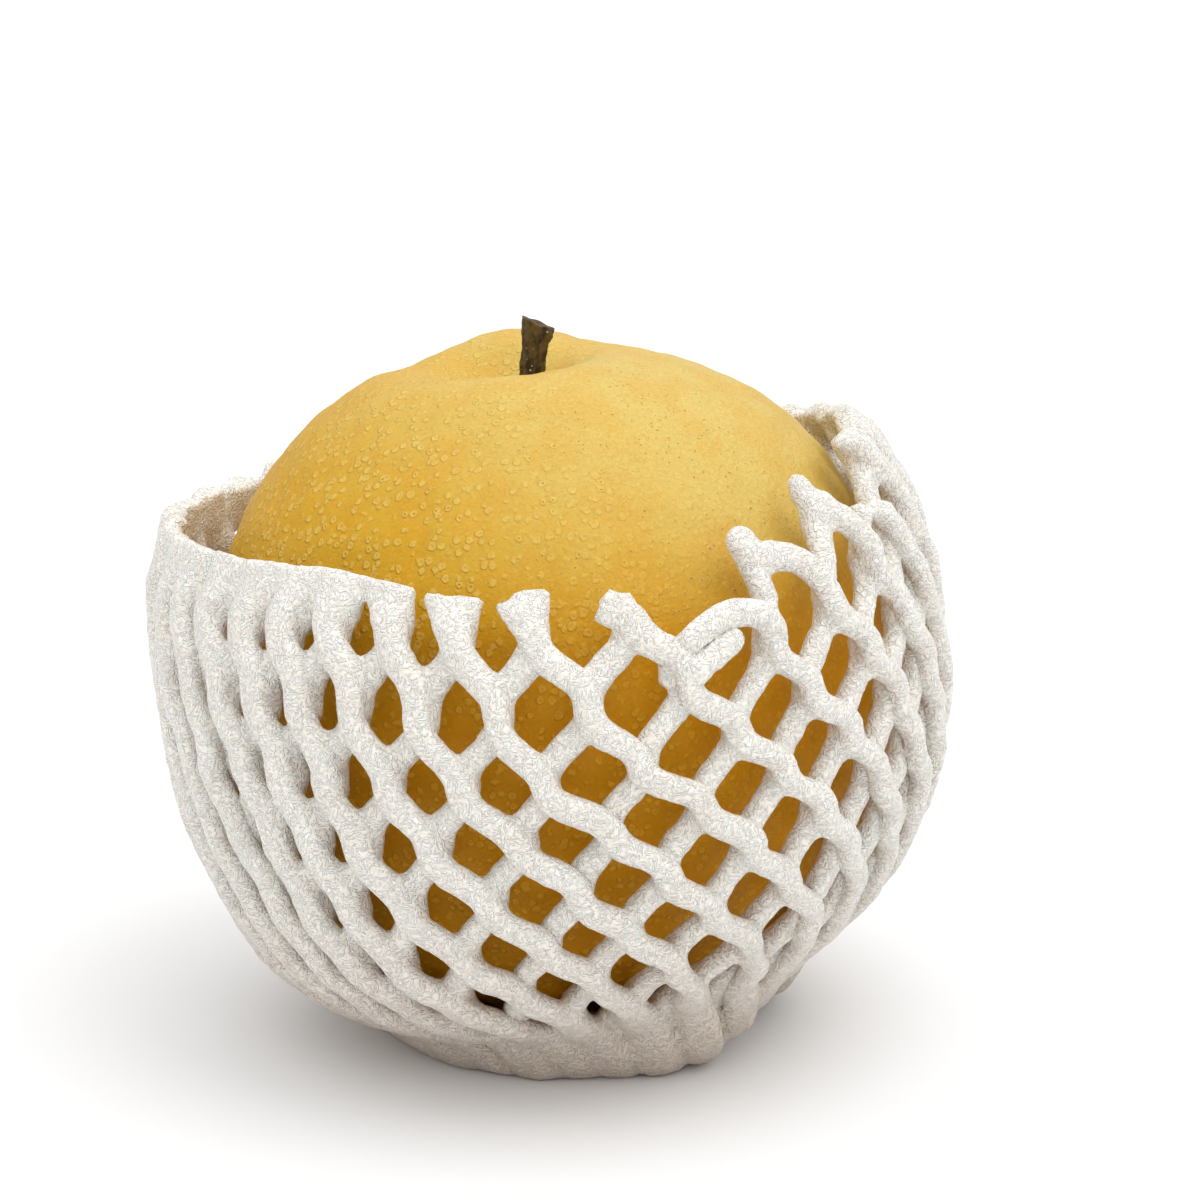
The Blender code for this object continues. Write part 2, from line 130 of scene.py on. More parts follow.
def ringMesh(name, rings, firstPoles, lastPoles):
    # rings is tubes x rings x sides x 3. Quads run from ring to ring and from side to side, and a fan
    # of triangles closes each end on its pole. If the volume comes out negative, every face turns over
    tubes, count, sides, _ = rings.shape
    points = np.concatenate([rings.reshape(-1, 3), firstPoles, lastPoles])
    body = np.arange(tubes * count * sides).reshape(tubes, count, sides)
    across = np.roll(body, -1, axis=2)
    quads = np.stack([body[:, :-1], across[:, :-1], across[:, 1:], body[:, 1:]], axis=-1).reshape(-1, 4)
    poles = tubes * count * sides + np.arange(2 * tubes).reshape(2, tubes, 1)
    poles = np.broadcast_to(poles, (2, tubes, sides))
    firstFan = np.stack([poles[0], across[:, 0], body[:, 0]], axis=-1).reshape(-1, 3)
    lastFan = np.stack([poles[1], body[:, -1], across[:, -1]], axis=-1).reshape(-1, 3)
    fans = np.concatenate([firstFan, lastFan])
    corners = points[quads] - points.mean(axis=0)
    if np.einsum("ij,ij->i", corners[:, 0], np.cross(corners[:, 1], corners[:, 2])).sum() < 0:
        quads, fans = quads[:, ::-1], fans[:, ::-1]
    mesh = bpy.data.meshes.new(name)
    mesh.vertices.add(len(points))
    mesh.vertices.foreach_set("co", points.astype(np.float32).ravel())
    loops = np.concatenate([quads.ravel(), fans.ravel()])
    sizes = np.concatenate([np.full(len(quads), 4), np.full(len(fans), 3)])
    mesh.loops.add(len(loops))
    mesh.loops.foreach_set("vertex_index", loops.astype(np.int32))
    mesh.polygons.add(len(sizes))
    starts = np.concatenate([[0], np.cumsum(sizes)[:-1]])
    mesh.polygons.foreach_set("loop_start", starts.astype(np.int32))
    mesh.polygons.foreach_set("use_smooth", np.ones(len(sizes), bool))
    mesh.update(calc_edges=True)
    mesh.validate()
    made = bpy.data.objects.new(name, mesh)
    bpy.context.scene.collection.objects.link(made)
    return made


def dress(made, finish, node):
    made.data.materials.append(finish)
    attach(made, "root")
    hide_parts(node)


# fruit

def makeFruit():
    # rings of fruitLocal from the stalk's socket to the eye, moved along the normal by the unevenness
    # and, round the eye, by the corky ring and the star of the dried flower: bell curves of the reach
    f = fruit
    azimuth = np.linspace(0, 2 * math.pi, f["sectors"], endpoint=False)
    edge = np.arcsin(f["poleReach"] / f["radius"])
    polar = np.concatenate([
        np.arcsin(np.linspace(f["socket"], f["poleReach"], f["crownRings"]) / f["radius"]),
        np.linspace(edge, math.pi - edge, f["bellyRings"] + 2)[1:-1],
        math.pi - np.arcsin(np.linspace(f["poleReach"], f["lastRing"], f["baseRings"]) / f["radius"]),
    ])
    grid = np.meshgrid(azimuth, polar)
    local = fruitLocal(*grid)
    point, normal = skin(*grid)
    fromStalk = np.hypot(local[..., 0] - f["stalkShift"], local[..., 1])
    fine = ripple(local, f["unevenLengths"], 3) * f["unevenness"]
    fine = fine * smoothStep(f["evenUpTo"], f["unevenFrom"], fromStalk)
    reach = np.hypot(local[..., 0], local[..., 1])
    eye = f["cork"] * bell(reach - f["corkAt"], f["corkWidth"]) - f["eyePit"] * bell(reach, f["eyePitWidth"])
    star = f["star"] * np.cos(f["starPoints"] * grid[0])
    eye = eye + star * bell(reach - f["starAt"], f["starWidth"])
    point = point + normal * (fine + np.where(local[..., 2] < 0, eye, 0.0))[..., None]
    # the socket goes down from the first ring in a few narrower rings
    mouth = point[0]
    centre = mouth.mean(axis=0)
    down = leanOver(np.array([0.0, 0.0, -1.0]))
    depth, taper = np.array(f["socketSteps"]).T[..., None, None]
    pit = (centre + (mouth - centre) * taper + down * depth)[::-1]
    rings = np.concatenate([pit, point])
    return ringMesh("fruitSkin", rings[None], rings[0].mean(axis=0)[None], rings[-1].mean(axis=0)[None])


# stalk

stalk = dict(
    radius=0.00185, length=0.0130, root=0.0030, gap=0.0003, flat=0.92,
    waist=0.10, waistUpTo=0.90, flare=0.06, flareFrom=0.80,
    lean=0.0030, leanFront=0.0010, curl=0.0008, bendFrom=0.18,
    bark=0.00016, ridgeShare=0.55, creaseShare=0.45,
    knot=0.00030, knotAt=0.62, knotLength=0.035, knotTurn=3.6, knotWidth=0.5,
    cut=-0.62, cutFrom=0.70, cutWave=0.00010,
    lid=((0.9, 0.00004), (0.6, -0.0001), (0.3, -0.00022)), lidMiddle=-0.0003,
    sides=72, rings=110,
)


def makeStalk():
    # a round profile carried up a slightly bent line: the radius narrows by a sine in the middle and
    # flares at the top, long ridges and short cross creases roughen it, and the top is cut at a slant
    s = stalk
    socket = s["radius"] + s["gap"]
    foot = fruit["stalkShift"] * math.exp(-((socket / fruit["cavitySpread"]) ** 2))
    mouthPolar = math.asin(socket / fruit["radius"])
    root = float(fruitLocal(np.array(0.0), np.array(mouthPolar))[2]) - s["root"]
    share = np.linspace(0, 1, s["rings"])[:, None]
    angle = np.linspace(0, 2 * math.pi, s["sides"], endpoint=False)[None]
    waist = s["waist"] * np.sin(math.pi * np.minimum(share, s["waistUpTo"]))
    radius = s["radius"] * (1 - waist + s["flare"] * smoothStep(s["flareFrom"], 1.0, share))
    ridges = 0.5 * np.sin(7 * angle + 5 * share + 0.6) + 0.35 * np.sin(12 * angle - 9 * share)
    ridges = ridges + 0.30 * np.sin(21 * angle + 14 * share)
    creases = 0.5 * np.sin(38 * share + 1.7 * np.sin(2 * angle))
    creases = creases + 0.4 * np.sin(83 * share + 2.4 * np.sin(3 * angle + 1))
    knotTurn = np.mod(angle - s["knotTurn"] + math.pi, 2 * math.pi) - math.pi
    knot = bell(share - s["knotAt"], s["knotLength"]) * bell(knotTurn, s["knotWidth"])
    rough = s["bark"] * (s["ridgeShare"] * ridges + s["creaseShare"] * creases) + s["knot"] * knot
    radius = radius + rough
    x = radius * np.cos(angle)
    y = s["flat"] * radius * np.sin(angle)
    cut = smoothStep(s["cutFrom"], 1.0, share) * (s["cut"] * x + s["cutWave"] * np.sin(5 * angle))
    bend = np.maximum(share - s["bendFrom"], 0.0)
    points = np.stack([
        foot + s["lean"] * bend + s["curl"] * bend**2 + x,
        y - s["leanFront"] * bend,
        root + s["length"] * share + cut,
    ], axis=-1)
    up = np.array([0.0, 0.0, 1.0])
    lid = points[-1].mean(axis=0)
    inner = [lid + (points[-1] - lid) * size + up * height for size, height in s["lid"]]
    rings = toWorld(np.concatenate([points, inner]))
    sole = toWorld(points[0].mean(axis=0))
    return ringMesh("stalkWood", rings[None], sole[None], toWorld(lid + up * s["lidMiddle"])[None])


# net

# lists of row and value are joined by straight lines, and lists of count, size and place are waves
# round the fruit
net = dict(
    columns=34, rows=9, thickness=0.00605, looseGap=0.0022, tightGap=0.0004, looseUpTo=0.022, tightFrom=0.046,
    weldRun=((1, 0.92), (3, 0.76), (5.5, 0.66), (8, 0.20)),
    rimStandOff=0.0038, rimStandOffAt=-105.0, rimStandOffWidth=38.0, rimStandOffFade=(0.004, 0.028),
    sag=0.0016, sagAt=-55.0, sagWidth=50.0, sagDown=0.032, sagHeight=0.014,
    landingReach=0.010, landingPress=0.0017, landingRows=(1.6, 0.1), pressed=0.30, pressedFrom=4.5,
    lifted=0.85, liftedAt=64.0, liftedWidth=34.0, ground=0.00002,
    firstColumnAt=0.6, bunching=((1, 0.165, -85.2), (2, 0.113, -69.3), (3, 0.040, -61.7)), twistPerRow=-0.33,
    middleRow=2.5, middleDrop=0.0026,
    middleWaves=((1, 0.0021, -134.5), (2, 0.0015, -17.4), (3, 0.0019, 16.3)),
    rowStep=0.0080, rowStepWaves=((1, 0.0006, -138.9), (2, 0.0005, 106.9)),
    lastRowDrop=0.0522, lastRowWaves=((1, 0.0028, 80.0),), lastRowStep=0.0080, regularFrom=4.0,
    halfWidth=((-0.6, 0.0024), (0, 0.00205), (1, 0.00178), (4, 0.00182), (6.5, 0.00172), (8, 0.0028)),
    crowded=((-0.6, 0.56), (0.2, 0.44), (6.5, 0.42), (8, 0.62)), halfThickness=0.00156,
    broad=((-9, 1.20), (-5, 1.18), (-2.5, 1.04), (0, 1.0), (3, 0.92), (5.2, 0.92), (6.5, 1.18), (10, 1.20)),
    innerHeight=0.00168, outerHeight=0.00430, weldSink=0.00034, rimSink=0.00112, rimSinkRows=0.35,
    outerShift=-0.03, flare=0.36, flareAt=0.62, flarePower=0.5, topCut=0.86, bottomCut=0.32, cutVaries=0.05,
    wander=((0.031, 0.019, 0.0125), 0.000099), heave=((0.027, 0.016), 0.00012),
    widthVaries=((0.017, 0.0093, 0.0061), 0.035), thicknessVaries=((0.014, 0.0078), 0.04),
    roundEnd=0.0022, roundStart=0.0002, taperLength=0.007, levelCut=0.0030, steepestCut=1.0,
    profile=(0.86, 0.92), cap=(0.90, 0.97), endRows=(0.014, 0.045), steps=150, sides=14,
    voxel=0.00060, crinkle=0.000028, crinkleEase=2.2, crinkleLengths=(0.0017, 0.0044, 22),
    parts=(("foamNetFront", -6, 5), ("foamNetRight", 6, 16), ("foamNetLeft", -17, -7)),
)

# how the net settled in front: turn in degrees and drop in millimetres at a few columns and rows
settled = dict(
    columns=(-5.0, -2.5, 0.0, 2.5, 5.0), rows=(0, 2, 4, 6, 8),
    turn=((1.4, 1.2, -0.5, 2.7, 1.9), (1.6, -0.9, -1.3, 0.6, 2.7), (0.5, -2.2, 1.2, 1.2, 1.0),
          (0.0, -1.2, 1.3, 3.3, -0.4), (0.0, 0.5, 0.4, 0.2, 0.0)),
    drop=((0.3, -1.5, -0.9, -0.7, -1.4), (-0.5, 0.05, 0.8, 0.7, 1.6), (0.1, -0.1, -0.2, 0.6, 1.8),
          (0.0, 0.35, -1.35, 0.3, -0.3), (0.0, 0.4, 1.6, -0.1, 0.0)),
)

polarTable = np.linspace(0.25, 3.0, 1200)


def meridianTable():
    # distance down the mean profile from the widest ring, and the radius there, against the polar angle
    flat = fruitLocal(np.full_like(polarTable, math.radians(90)), polarTable)
    length = np.concatenate([[0.0], np.cumsum(np.hypot(np.diff(flat[:, 0]), np.diff(flat[:, 2])))])
    return length - np.interp(math.pi / 2, polarTable, length), flat[:, 0]


meridian, meridianRadius = meridianTable()


def waves(series, azimuth):
    # sum of size * cos(count * (azimuth - place))
    return sum(size * np.cos(count * (azimuth - math.radians(place))) for count, size, place in series)


def columnTable():
    # column number against azimuth at the rim: the integral of the bunching round the fruit
    azimuth = np.linspace(-math.pi, math.pi, 2881)
    column = azimuth.copy()
    for count, share, place in net["bunching"]:
        column += share / count * np.sin(count * (azimuth - math.radians(place)))
    column *= net["columns"] / (2 * math.pi)
    return column - np.interp(math.radians(net["firstColumnAt"]), azimuth, column), azimuth


columnNumbers, columnAzimuths = columnTable()


def settle(amounts, column, row):
    # each amount of the table fades out over the next column and the next row of the table, by the
    # S-shaped cubic, so that between them the sum is smooth
    s = settled
    columnGap = s["columns"][1] - s["columns"][0]
    rowGap = s["rows"][1] - s["rows"][0]
    inside = np.mod(column + net["columns"] / 2, net["columns"]) - net["columns"] / 2
    total = 0.0
    for rowPlace, line in zip(s["rows"], amounts):
        nearRow = smoothStep(1.0, 0.0, np.abs(np.maximum(row, 0.0) - rowPlace) / rowGap)
        for columnPlace, amount in zip(s["columns"], line):
            total = total + amount * nearRow * smoothStep(1.0, 0.0, np.abs(inside - columnPlace) / columnGap)
    return total


def lattice(column, row):
    # azimuth and distance down the skin of a lattice point: the rim's azimuth plus a slow twist, and
    # even rows from the middle row up, eased below into a regular ring under the fruit; then settled
    turns = np.floor((column - columnNumbers[0]) / net["columns"])
    top = np.interp(column - turns * net["columns"], columnNumbers, columnAzimuths) + turns * 2 * math.pi
    azimuth = top + math.radians(net["twistPerRow"]) * (row - 1)
    middle = net["middleDrop"] + waves(net["middleWaves"], top)
    upper = middle + (row - net["middleRow"]) * (net["rowStep"] + waves(net["rowStepWaves"], top))
    lower = net["lastRowDrop"] + waves(net["lastRowWaves"], top) + (row - net["rows"]) * net["lastRowStep"]
    distance = upper + smoothStep(net["regularFrom"], net["rows"], row) * (lower - upper)
    azimuth = azimuth + np.radians(settle(settled["turn"], column, row))
    return azimuth, distance + 0.001 * settle(settled["drop"], column, row)


def cellSize(column, row):
    # width of a cell and height of one row, by differences over a small step
    step = 0.05
    distance = lattice(column, row)[1]
    width = (lattice(column + step, row)[0] - lattice(column - step, row)[0]) / (2 * step)
    height = (lattice(column, row + step)[1] - lattice(column, row - step)[1]) / (2 * step)
    return width * (np.interp(distance, meridian, meridianRadius) + net["thickness"]), height


def alongRows(pairs, row):
    # straight lines between the given pairs of row and value
    return np.interp(row, *zip(*pairs))


def drift(row, flare, power):
    # sideways way of a strand: half the row less a sine of it, so steep in the welds and slanting
    # between; over the rim the two strands of a weld part, by a power of the way up
    inside = 0.5 * (row - alongRows(net["weldRun"], row) * np.sin(2 * math.pi * row) / (2 * math.pi))
    return np.where(row < 0, -flare * (np.maximum(-row, 0) / net["flareAt"]) ** power, inside)


def netPoint(column, row, height):
    # point at a height over the net's inner side, and the skin's normal there: the skin, the gap that
    # the net keeps from it, the way down to the surface in the last rows, and the height
    n = net
    azimuth, distance = lattice(column, row)
    point, normal = skin(azimuth, np.interp(distance, meridian, polarTable))

    def near(place, width):
        return bell(np.mod(np.degrees(azimuth) - place + 180, 360) - 180, width)

    room = point[..., 2] / np.maximum(-normal[..., 2], 0.08)  # way to the surface along the normal
    rim = n["rimStandOff"] * near(n["rimStandOffAt"], n["rimStandOffWidth"])
    rim = rim * smoothStep(*n["rimStandOffFade"], -distance)
    loose = 1 - smoothStep(n["looseUpTo"], n["tightFrom"], distance)
    sag = n["sag"] * near(n["sagAt"], n["sagWidth"]) * bell(distance - n["sagDown"], n["sagHeight"])
    gap = n["tightGap"] + (n["looseGap"] - n["tightGap"]) * loose + rim + sag
    flat = 1 - n["pressed"] * smoothStep(n["pressedFrom"], n["rows"], row)
    landing = np.clip(room - gap - n["thickness"] * flat + n["landingPress"], 0, n["landingReach"])
    landing = landing * smoothStep(*(n["rows"] - np.array(n["landingRows"])), row)
    landing = landing * (1 - n["lifted"] * near(n["liftedAt"], n["liftedWidth"]))
    return point + normal * (gap + landing + height * flat)[..., None], normal


def strandTubes(k, column, row, height, taper, seed):
    # a flattened round profile carried along each strand: half width and half thickness across and out,
    # both varied slowly along the strand; a tip with a taper narrows by it and ends round, by the
    # quarter circle sqrt(t * (2 - t)), and every other tip is cut level
    n = net
    tubes, steps = column.shape
    rng = np.random.default_rng(seed)
    along = np.linspace(0, 1, steps)[None] * n["rows"] * n["rowStep"]

    def slow(lengths, size):
        phase = rng.uniform(0, 2 * math.pi, (len(lengths), tubes, 1))
        return size * sum(np.sin(2 * math.pi * along / length + p) for length, p in zip(lengths, phase))

    width, tall = cellSize(column, row)
    sideways = slow(*n["wander"])
    centre, normal = netPoint(column + sideways / width, row, height + slow(*n["heave"]))
    tangent = np.gradient(centre, axis=1)
    tangent /= np.linalg.norm(tangent, axis=-1, keepdims=True)
    normal = normal - (normal * tangent).sum(axis=-1, keepdims=True) * tangent
    normal /= np.linalg.norm(normal, axis=-1, keepdims=True)
    side = np.cross(tangent, normal)
    slant = tall / np.hypot(tall, width / 2)
    half = np.minimum(alongRows(n["halfWidth"], row), alongRows(n["crowded"], row) * width * slant)
    half = half * (1 + slow(*n["widthVaries"])) * alongRows(n["broad"], k)[:, None]
    thick = n["halfThickness"] * (1 + slow(*n["thicknessVaries"]))
    travelled = np.cumsum(np.linalg.norm(np.diff(centre, axis=1, prepend=centre[:, :1]), axis=-1), axis=1)
    t = np.clip((travelled + n["roundStart"]) / n["roundEnd"], 0, 1)
    pointed = (taper > 0)[:, None]
    roundness = np.where(pointed, np.sqrt(t * (2 - t)), 1.0)
    narrowing = 1 - taper[:, None] * smoothStep(n["taperLength"], 0.0, travelled)
    half = half * roundness * narrowing
    thick = thick * roundness
    cap = np.ones(steps)
    cap[:2] = n["cap"]
    cap[-2:] = n["cap"][::-1]
    angle = np.linspace(0, 2 * math.pi, n["sides"], endpoint=False)
    across, outward = [np.sign(wave) * np.abs(wave) ** power
                       for wave, power in zip((np.cos(angle), np.sin(angle)), n["profile"])]
    offset = (half * cap)[..., None] * across
    rise = (thick * cap)[..., None] * outward
    rings = centre[:, :, None] + side[:, :, None] * offset[..., None] + normal[:, :, None] * rise[..., None]
    # the free end is cut level: its points slide along the strand until they lie along the columns
    step = 0.05
    level = netPoint(column + step, row, height)[0] - netPoint(column - step, row, height)[0]
    slope = (level * tangent).sum(axis=-1) / (level * side).sum(axis=-1)
    slope = np.where((np.abs(slope) < n["steepestCut"]) & ~pointed, slope, 0.0)
    slope = slope * smoothStep(n["levelCut"], 0.0, travelled)
    rings = rings + tangent[:, :, None] * (offset * slope[..., None])[..., None]
    rings[..., 2] = np.maximum(rings[..., 2], n["ground"])
    return rings, rings[:, 0].mean(axis=1), rings[:, -1].mean(axis=1)


def rowsAlong(start, end):
    # rows of one strand from its cut top to its cut bottom, even between but closer together at the ends
    first, second = net["endRows"]
    length = (end - start)[:, None]
    near = np.broadcast_to([0.0, first], (len(start), 2))
    inner = second + (length - 2 * second) * np.linspace(0, 1, net["steps"] - 4)
    far = length - np.array([first, 0.0])
    return start[:, None] + np.concatenate([near, inner, far], axis=1)


# rim tips that differ from the others: column, cut of the outer strand, cut of the inner, shift in
# columns, how far the two part in columns, and the power of that way
rimTips = (
    (-9, 0.76, 0.74, 0.10, 0.22, 0.5), (-8, 0.72, 0.70, 0.16, 0.20, 0.5), (-7, 0.70, 0.68, 0.22, 0.20, 0.5),
    (-6, 0.70, 0.70, 0.28, 0.18, 0.5), (-5, 0.74, 0.74, 0.29, 0.18, 0.5), (-4, 0.68, 0.70, 0.30, 0.16, 0.5),
    (-3, 0.64, 0.63, 0.19, 0.15, 0.5), (-2, 0.60, 0.61, 0.00, 0.12, 0.5), (-1, 0.55, 0.58, -0.02, 0.20, 0.9),
    (0, 0.52, 0.66, -0.12, 0.11, 1.0), (1, 0.34, 0.42, -0.32, 0.15, 1.0), (3, 0.62, 0.62, 0.0, 0.04, 1.0),
    (6, 0.30, 0.34, -0.50, 0.14, 1.0), (7, 0.42, 0.42, -0.24, 0.24, 1.0), (8, 0.50, 0.52, 0.00, 0.24, 0.5),
    (9, 0.55, 0.55, 0.00, 0.30, 0.5), (10, 0.62, 0.62, 0.00, 0.36, 0.5), (11, 0.72, 0.72, 0.00, 0.36, 0.5),
)

# tips that lean another way, from row 1 up: family, column, taper, and share of the way, column, row
leaning = (
    (-1, 3.0, 0.12, ((0.0, 2.50, 1.00), (0.35, 2.59, 0.42), (0.7, 2.50, -0.16), (1.0, 2.37, -0.74))),
    (1, 3.0, 0.05, ((0.0, 3.50, 1.00), (0.35, 3.28, 0.56), (0.7, 2.92, 0.14), (1.0, 2.56, -0.20))),
    (-1, 4.0, 0.34, ((0.0, 3.50, 1.00), (0.25, 3.71, 0.64), (0.5, 3.84, 0.26), (0.75, 3.84, -0.16),
                     (1.0, 3.84, -0.64))),
    (1, 4.0, 0.05, ((0.0, 4.50, 1.00), (0.35, 4.37, 0.66), (0.7, 4.12, 0.20), (1.0, 3.90, -0.22))),
    (-1, 5.0, 0.20, ((0.0, 4.50, 1.00), (0.5, 4.78, 0.76), (1.0, 4.96, 0.48))),
    (1, 5.0, 0.05, ((0.0, 5.50, 1.00), (0.5, 5.30, 0.80), (1.0, 5.08, 0.60))),
)
# where the lower edge ends early: column and rows less
shortBottoms = ((2, 0.3), (3, 0.6), (4, 0.95), (5, 1.05), (6, 1.05), (7, 0.95), (8, 0.6), (9, 0.3))

# the torn place: the inner strand of this column bends over to the right, on top of the others, and a
# stub stands up under the bend; each entry is share of the way, column, row. The bent strand isn't
# melted into the strands that it lies on: it is made with the piece of the column in apartFrom
tear = dict(
    column=2.0, outerTop=-0.62, apartFrom=6, rise=0.0026, riseBy=0.3, riseUpTo=0.75,
    bend=((0.0, 1.32, 0.90), (0.15, 1.44, 0.62), (0.3, 1.65, 0.43), (0.45, 1.88, 0.38), (0.6, 2.12, 0.44),
          (0.75, 2.34, 0.64), (0.88, 2.47, 0.95), (1.0, 2.52, 1.30)),
    stub=((0.0, 1.48, 1.00), (0.5, 1.76, 0.79), (1.0, 2.05, 0.69)), stubRise=0.0006, stubTaper=0.10,
)


def alongWay(way, share):
    # a polynomial through the given places, column and row against the share of the way
    way = np.array(way)
    degree = min(4, len(way) - 1)
    return [np.polyval(np.polyfit(way[:, 0], way[:, c], degree), share) for c in (1, 2)]


def strandLines(turn, height, seed):
    # column, row and height of every strand: column = k + turn * drift(row), turn 1 outside and -1
    # inside; the two families sink into each other at the welds and lie level over the rim
    n = net
    rng = np.random.default_rng(seed)
    k = np.arange(n["columns"], dtype=float)
    k[k >= n["columns"] / 2] -= n["columns"]
    top = n["topCut"] + rng.uniform(-n["cutVaries"], n["cutVaries"], len(k))
    bottom = n["bottomCut"] + rng.uniform(-n["cutVaries"], n["cutVaries"], len(k))
    shift, taper = np.zeros((2, len(k)))
    flare = np.full(len(k), n["flare"])
    power = np.full(len(k), n["flarePower"])
    for column, outerCut, innerCut, sideways, apart, curve in rimTips:
        one = k == column
        top[one] = outerCut if turn > 0 else innerCut
        shift[one], flare[one], power[one] = sideways, apart, curve
    for column, less in shortBottoms:
        bottom[k == column] -= less
    torn = k == tear["column"]
    if turn > 0:
        top[torn] = tear["outerTop"]
    row = rowsAlong(-top, n["rows"] + bottom)
    column = k[:, None] + turn * drift(row, flare[:, None], power[:, None])
    column = column + shift[:, None] * (np.maximum(-row, 0) / n["flareAt"]) ** power[:, None]
    weld = (0.5 + 0.5 * np.cos(2 * math.pi * row)) * (row > 0)
    over = smoothStep(0.0, n["rimSinkRows"], -row)
    sink = n["weldSink"] * np.maximum(weld, 1 - over * (row < 0)) * (1 - over) + n["rimSink"] * over
    level = height - turn * sink

    def bentOver(one, way):
        # the strand follows the way from row 1 up; gives the share of the way
        share = (1 - row[one]) / (1 + top[one, None])
        bent = alongWay(way, np.clip(share, 0, 1))
        column[one] = np.where(share > 0, bent[0], column[one])
        row[one] = np.where(share > 0, bent[1], row[one])
        return share

    for family, at, narrower, way in leaning:
        if family == turn:
            bentOver(k == at, way)
            taper[k == at] = narrower
    group = k.copy()
    if turn < 0:
        share = bentOver(torn, tear["bend"])
        group[torn] = tear["apartFrom"]
        rise = smoothStep(0.0, tear["riseBy"], share) * smoothStep(1.0, tear["riseUpTo"], share)
        level[torn] = np.where(share > 0, level[torn] + tear["rise"] * rise, level[torn])
    else:
        share = np.linspace(1, 0, n["steps"])[None]
        stub = alongWay(tear["stub"], share)
        column = np.concatenate([column, stub[0]])
        row = np.concatenate([row, stub[1]])
        level = np.concatenate([level, height + tear["stubRise"] * share])
        k = np.append(k, tear["column"])
        group = np.append(group, tear["column"])
        taper = np.append(taper, tear["stubTaper"])
        column = column + n["outerShift"] * smoothStep(0, 1, np.minimum(row, 6 - row))
    return group, k, column, row, level, taper


def fused(rough, name, seed):
    # the strands melted into one skin where they meet: a voxel remesh, smoothed, then crinkled along
    # the normals by a sum of short plane waves, and kept above the ground
    remesh = rough.modifiers.new("melt", "REMESH")
    remesh.mode = "VOXEL"
    remesh.voxel_size = net["voxel"]
    remesh.use_smooth_shade = True
    soften = rough.modifiers.new("soften", "SMOOTH")
    soften.factor = 0.5
    soften.iterations = 1
    bpy.context.view_layer.update()
    mesh = bpy.data.meshes.new_from_object(rough.evaluated_get(bpy.context.evaluated_depsgraph_get()))
    bpy.data.objects.remove(rough)
    count = len(mesh.vertices)
    points, normals = np.empty(count * 3, np.float32), np.empty(count * 3, np.float32)
    mesh.vertices.foreach_get("co", points)
    mesh.vertex_normals.foreach_get("vector", normals)
    points, normals = points.reshape(-1, 3).astype(float), normals.reshape(-1, 3)
    lengths = np.geomspace(*net["crinkleLengths"])
    crinkle = ripple(points, lengths, seed) * net["crinkle"] / net["crinkleEase"]
    points = points + normals * crinkle[:, None]
    points[:, 2] = np.maximum(points[:, 2], net["ground"])
    mesh.vertices.foreach_set("co", points.astype(np.float32).ravel())
    mesh.update()
    mesh.name = name
    made = bpy.data.objects.new(name, mesh)
    bpy.context.scene.collection.objects.link(made)
    print(name, len(mesh.polygons), "faces")
    return made


def makeNet():
    # both families of strands, melted together in three parts of the net's columns
    tubes = []
    for turn, height, seed in ((1, net["outerHeight"], 11), (-1, net["innerHeight"], 23)):
        group, *strands = strandLines(turn, height, seed)
        tubes.append((group, *strandTubes(*strands, seed + 1)))
    pieces = []
    for name, low, high in net["parts"]:
        kept = [(group >= low) & (group <= high) for group, *_ in tubes]
        stacked = [np.concatenate([tube[n][keep] for tube, keep in zip(tubes, kept)]) for n in (1, 2, 3)]
        pieces.append(fused(ringMesh(name + "Rough", *stacked), name, 31))
    return pieces


# shader maths

class Wire:
    # one output socket; + - and * add a Math node and give its output
    def __init__(self, finish, socket):
        self.finish = finish
        self.socket = socket

    def combine(self, operation, first, second):
        return self.finish.node("Math", {"operation": operation}, {0: first, 1: second})

    def __add__(self, other):
        return self.combine("ADD", self, other)

    def __sub__(self, other):
        return self.combine("SUBTRACT", self, other)

    def __rsub__(self, other):
        return self.combine("SUBTRACT", other, self)

    def __mul__(self, other):
        return self.combine("MULTIPLY", self, other)

    __radd__ = __add__
    __rmul__ = __mul__


